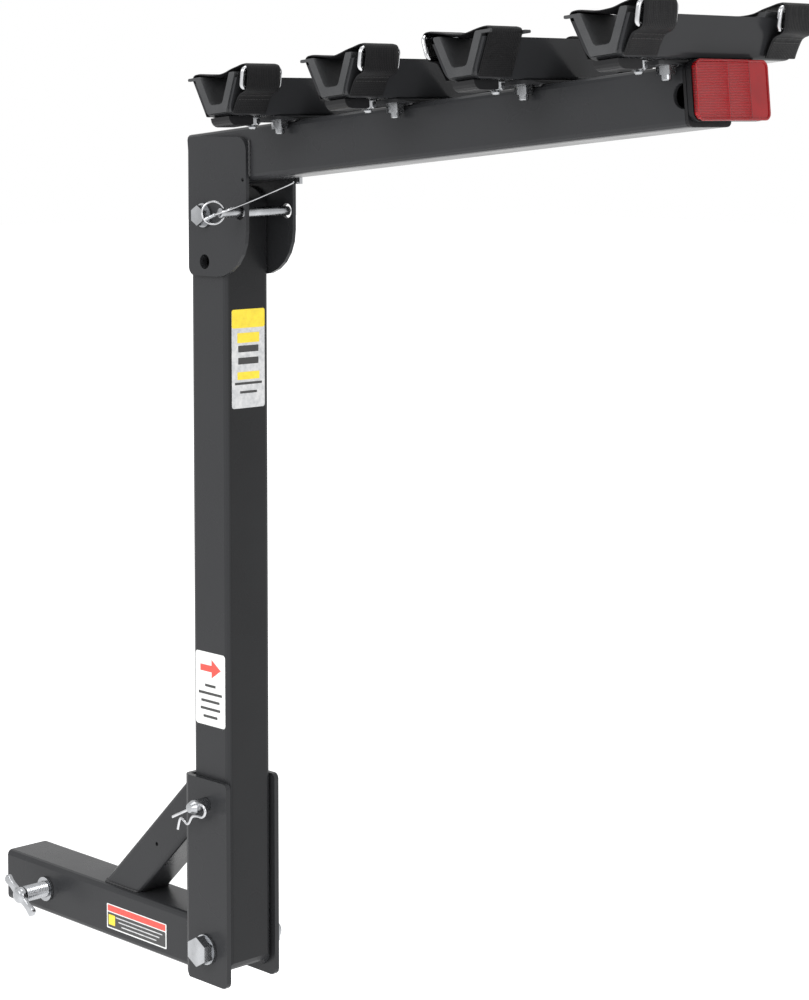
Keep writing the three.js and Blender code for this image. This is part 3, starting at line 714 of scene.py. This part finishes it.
def ferrule():
    """Crimped sleeve where the lanyard closes round the pin's ring."""
    a, b = row(PARK_X - 9.2, -61.1, 677.6), row(PARK_X - 1.5, -57, 681.5)
    path = [a.lerp(b, k / 12) for k in range(13)]
    obj = sweep("lanyard_sleeve", path, 1.7 * MM, 16, ZINC, "lock_pin_body",
                ripple=lambda i: 0.86 if i in (3, 4, 8, 9) else 1.0)


def wing_head():
    """Cast wing head: round hub and two flared wings, softened as one casting."""
    mesh = NODES["wing_nut"].data.copy()
    obj = bpy.data.objects.new("wing_casting", mesh)
    bpy.context.scene.collection.objects.link(obj)
    remesh = obj.modifiers.new("remesh", "REMESH")
    remesh.mode = "VOXEL"
    remesh.voxel_size = 0.55 * MM
    remesh.use_smooth_shade = True
    soft = obj.modifiers.new("soft", "SMOOTH")
    soft.factor = 0.6
    soft.iterations = 7
    obj.data.materials.clear()
    obj.data.materials.append(ZINC)
    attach(obj, "hitch_screw")
    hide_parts("wing_nut")


hitch_thread()
tilt_pin()
spring_clip()
pin_ring()
ferrule()
wing_head()

# ---------------------------------------------------------------- weld beads

def weld(name, a, b, radius, body):
    a, b = Vector(a), Vector(b)
    count = max(12, int((b - a).length / (0.9 * MM)))
    path = [a.lerp(b, i / count) for i in range(count + 1)]

    def ripple(i):
        taper = min(1, (i + 1) / 3, (count + 1 - i) / 3)
        return (0.82 + 0.18 * abs(math.sin(i * 0.62))) * taper

    obj = sweep(name, path, radius * MM, 12, WELD, body, ripple=ripple)


def welds():
    yoke = POST_X - 33.6
    ear = POST_X + 58.4
    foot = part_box("brace_tube")[0].x / MM
    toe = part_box("brace_tube")[1].x / MM
    for side, y in (("near", -18.8), ("far", 18.8)):
        weld(f"weld_brace_{side}", row(foot + 2, y, 26), row(foot + 53, y, 26), 1.8, "base")
        weld(f"weld_web_{side}", row(toe + 0.2, y, 108), row(toe + 0.2, y, 159), 1.8, "base")
    weld("weld_brace_front", row(foot + 0.6, -17, 26), row(foot + 0.6, 17, 26), 2.0, "base")
    weld("weld_shank_top", row(yoke, -21, 26.2), row(yoke, 21, 26.2), 2.0, "base")
    for side, y in (("near", -25.6), ("far", 25.6)):
        weld(f"weld_shank_{side}", row(yoke, y, -20), row(yoke, y, 21), 1.7, "base")
        weld(f"weld_ear_{side}", row(ear, y, 715), row(ear, y, 748), 1.8, "arm")
        for number, u in enumerate(CRADLES, 1):
            rear = min(u + 14, BEAM_END - 2)
            seam = BEAM_TOP - 0.4
            weld(f"weld_bracket_{number}_{side}", arm(u - 14, y, seam), arm(rear, y, seam), 1.5, "arm")


welds()

# ---------------------------------------------------------------- generic labels

def plate(name, origin, right, up, size, thickness, material, body, corner=1.5, outline=None):
    """Thin printed sheet. outline is a list of points in millimetres from its centre."""
    right, up = Vector(right), Vector(up)
    out = right.cross(up)
    if outline is None:
        outline = rounded_rectangle(size[0] / 2, size[1] / 2, corner, 4)
    verts, n = [], len(outline)
    for lift in (0, thickness):
        verts += [Vector(origin) + (right * x + up * y + out * lift) * MM for x, y in outline]
    faces = [tuple(range(n)), tuple(range(n, 2 * n))]
    faces += [(k, (k + 1) % n, n + (k + 1) % n, n + k) for k in range(n)]
    obj = new_mesh(name, verts, faces, material, body, 30)


def labels():
    x_axis, y_axis, up = (1, 0, 0), (0, 1, 0), (0, 0, 1)
    x = POST_X + LABEL_FACE
    plate("badge_sheet", row(x, 0, 549), y_axis, up, (39, 90), 0.2, GREY, "post", 2.5)
    plate("badge_top", row(x + 0.2, 0, 585.5), y_axis, up, (39, 17), 0.12, YELLOW, "post", 2)
    plate("badge_band", row(x + 0.2, 0, 568), y_axis, up, (26, 9), 0.12, YELLOW, "post", 0.6)
    plate("badge_foot", row(x + 0.2, 0, 533.5), y_axis, up, (26, 7), 0.12, YELLOW, "post", 0.6)
    for k, (width, z) in enumerate(((24, 558), (24, 547), (32, 526.5), (20, 518.5))):
        height = 6 if k < 2 else 2.2
        plate(f"badge_bar_{k}", row(x + 0.2, 0, z), y_axis, up, (width, height), 0.12, INK, "post", 0.5)
    y = -LABEL_FACE
    plate("guide_sheet", row(POST_X, y, 244), x_axis, up, (42, 68), 0.2, WHITE, "post", 3)
    arrow = [(-14, 3), (2, 3), (2, 8.5), (15, 0), (2, -8.5), (2, -3), (-14, -3)]
    plate("guide_arrow", row(POST_X, y - 0.2, 263), x_axis, up, None, 0.12, RED, "post", outline=arrow)
    for k in range(5):
        width = (15, 33, 26, 28, 20)[k]
        place = row(POST_X, y - 0.2, 247 - k * 7.2)
        plate(f"guide_bar_{k}", place, x_axis, up, (width, 2.4), 0.12, INK, "post", 0.5)
    plate("notice_sheet", row(145, y, -4), x_axis, up, (92, 24), 0.2, WHITE, "base", 1)
    plate("notice_panel", row(145, y - 0.2, -7.4), x_axis, up, (89, 14.5), 0.12, INK, "base", 0.6)
    plate("notice_band", row(145, y - 0.2, 4), x_axis, up, (89, 6), 0.12, RED, "base", 0.6)
    plate("notice_block", row(107, y - 0.32, -7.2), x_axis, up, (10, 10), 0.1, YELLOW, "base", 0.5)
    for k in range(3):
        place = row(149, y - 0.32, -3.4 - k * 3.8)
        plate(f"notice_bar_{k}", place, x_axis, up, (72 - 9 * k, 1.1), 0.1, GREY, "base", 0.3)


labels()

# ---------------------------------------------------------------- reflector frame

def reflector_rim():
    """Raised frame and two ribs on the lens."""
    u = BEAM_END + 12.6
    y0, y1 = -24.2, 60.2
    top, low = BEAM_TOP + 1.7, BEAM_TOP - 42.7
    middle_y, middle_w = (y0 + y1) / 2, (low + top) / 2
    outline = [arm(u, middle_y + y, middle_w + w)
               for y, w in rounded_rectangle((y1 - y0) / 2, (top - low) / 2, 5, 6)]
    sweep("lens_rim", filled_in(outline), 1.0 * MM, 10, LENS, "arm", closed=True)
    for k, y in enumerate((13.0, 38.5)):
        path = [arm(u - 0.3, y, low + (top - low) * i / 16) for i in range(17)]
        sweep(f"lens_rib_{k}", path, 0.7 * MM, 10, LENS, "arm")


reflector_rim()

# ---------------------------------------------------------------- floor, light and world

def make_stage():
    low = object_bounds()[0].z - 0.9
    mesh = bpy.data.meshes.new("floor")
    mesh.from_pydata([(-30, -30, low), (30, -30, low), (30, 30, low), (-30, 30, low)], [], [(0, 1, 2, 3)])
    floor = bpy.data.objects.new("floor", mesh)
    bpy.context.scene.collection.objects.link(floor)
    material, _, shader = new_material("pale_floor")
    shader.inputs["Base Color"].default_value = (0.95, 0.95, 0.95, 1)
    shader.inputs["Roughness"].default_value = 1.0
    shader.inputs["Specular IOR Level"].default_value = 0.0
    shader.inputs["Emission Color"].default_value = (1, 1, 1, 1)
    shader.inputs["Emission Strength"].default_value = 0.35
    mesh.materials.append(material)
    world = bpy.data.worlds.new("studio")
    world.use_nodes = True
    world.node_tree.nodes["Background"].inputs["Color"].default_value = (1, 1, 1, 1)
    world.node_tree.nodes["Background"].inputs["Strength"].default_value = 1.0
    bpy.context.scene.world = world
    area_light("key", (0.2, -3.2, 2.2), (0.45, 0, 0.4), (1.6, 1.6), 60)
    area_light("rear", (3.4, -0.4, 1.2), (0.45, 0, 0.4), (1.0, 1.6), 18)
    area_light("top", (0.6, 0.2, 3.2), (0.45, 0, 0.5), (1.6, 1.6), 30)
    bpy.context.scene.view_settings.view_transform = "Standard"


make_stage()
